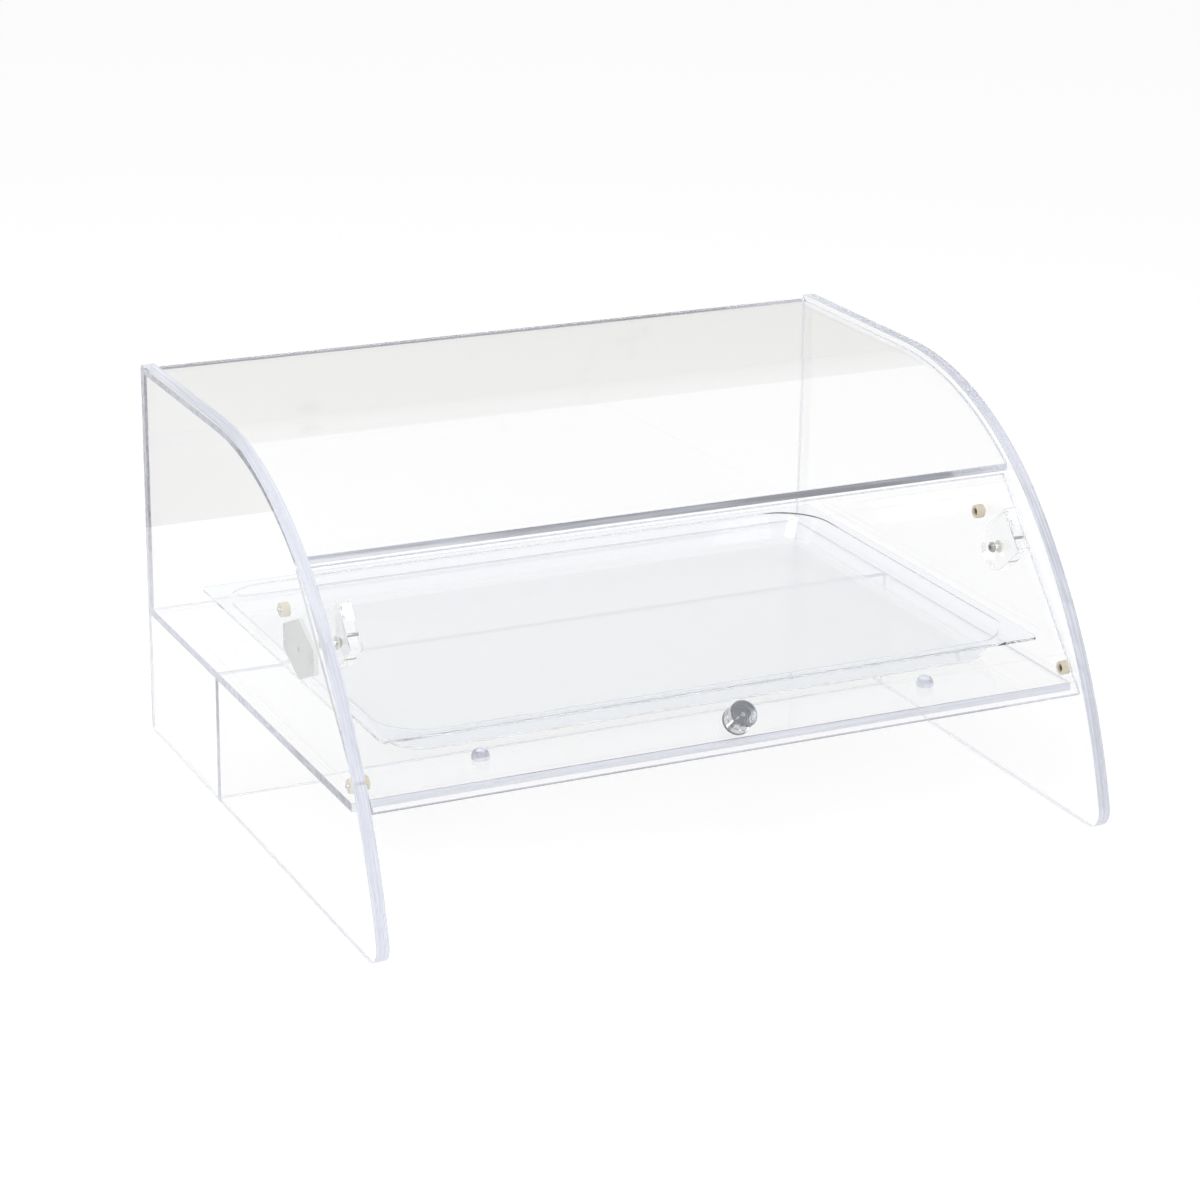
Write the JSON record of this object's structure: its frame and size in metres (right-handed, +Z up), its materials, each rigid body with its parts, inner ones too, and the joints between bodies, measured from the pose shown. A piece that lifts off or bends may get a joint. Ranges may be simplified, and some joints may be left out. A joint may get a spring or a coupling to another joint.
{
  "type": "countertop bread display bin",
  "caption": "Clear countertop display case with a curved top, a tilt-up front flap on side pivots, and a loose tray on its shelf.",
  "frame": {"origin": "middle of the footprint on the counter", "axes": "+X to the right, front faces -Y, +Z up"},
  "size_m": [0.724, 0.589, 0.371],
  "materials": {
    "clear_sheet": "polished clear acrylic sheet",
    "clear_block": "polished clear acrylic",
    "tray_plastic": "formed clear plastic, lightly pebbled",
    "screw_steel": "bright",
    "blackened_steel": "black oxide",
    "turned_aluminium": "lathe turned",
    "bumper_nylon": "natural nylon",
    "plate_plastic": "pale grey acetal",
    "washer_nylon": "white nylon"
  },
  "bodies": {
    "case": {"left_end_panel": "clear_sheet", "right_end_panel": "clear_sheet", "back_panel": "clear_sheet", "curved_shield": "clear_sheet", "shelf": "clear_sheet", "riser_panel": "clear_sheet", "left_pivot_screw": "screw_steel", "right_pivot_screw": "screw_steel", "left_pivot_washer": "washer_nylon", "right_pivot_washer": "washer_nylon", "left_pivot_plate": "plate_plastic", "left_plate_front_screw": "screw_steel", "left_plate_rear_screw": "screw_steel", "upper_left_bumper": "bumper_nylon", "upper_right_bumper": "bumper_nylon", "lower_left_bumper": "bumper_nylon", "lower_right_bumper": "bumper_nylon", "upper_left_bumper_screw": "blackened_steel", "upper_right_bumper_screw": "blackened_steel", "lower_left_bumper_screw": "blackened_steel", "lower_right_bumper_screw": "blackened_steel", "left_tray_peg": "clear_block", "right_tray_peg": "clear_block"},
    "door": {"door_panel": "clear_sheet", "left_hinge_block": "clear_block", "right_hinge_block": "clear_block", "knob_plate": "turned_aluminium", "knob": "clear_block", "knob_screw": "screw_steel"},
    "tray": {"tray": "tray_plastic"}
  },
  "joints": [
    {"name": "door_hinge", "type": "hinge", "parent": "case", "child": "door", "pos_m": [0, -0.11205, 0.22104], "axis": [-1, 0, 0], "range_deg": [0, 62]},
    {"name": "tray_lift", "type": "slide", "parent": "case", "child": "tray", "axis": [0, 0, 1], "range_m": [0, 0.025]}
  ]
}
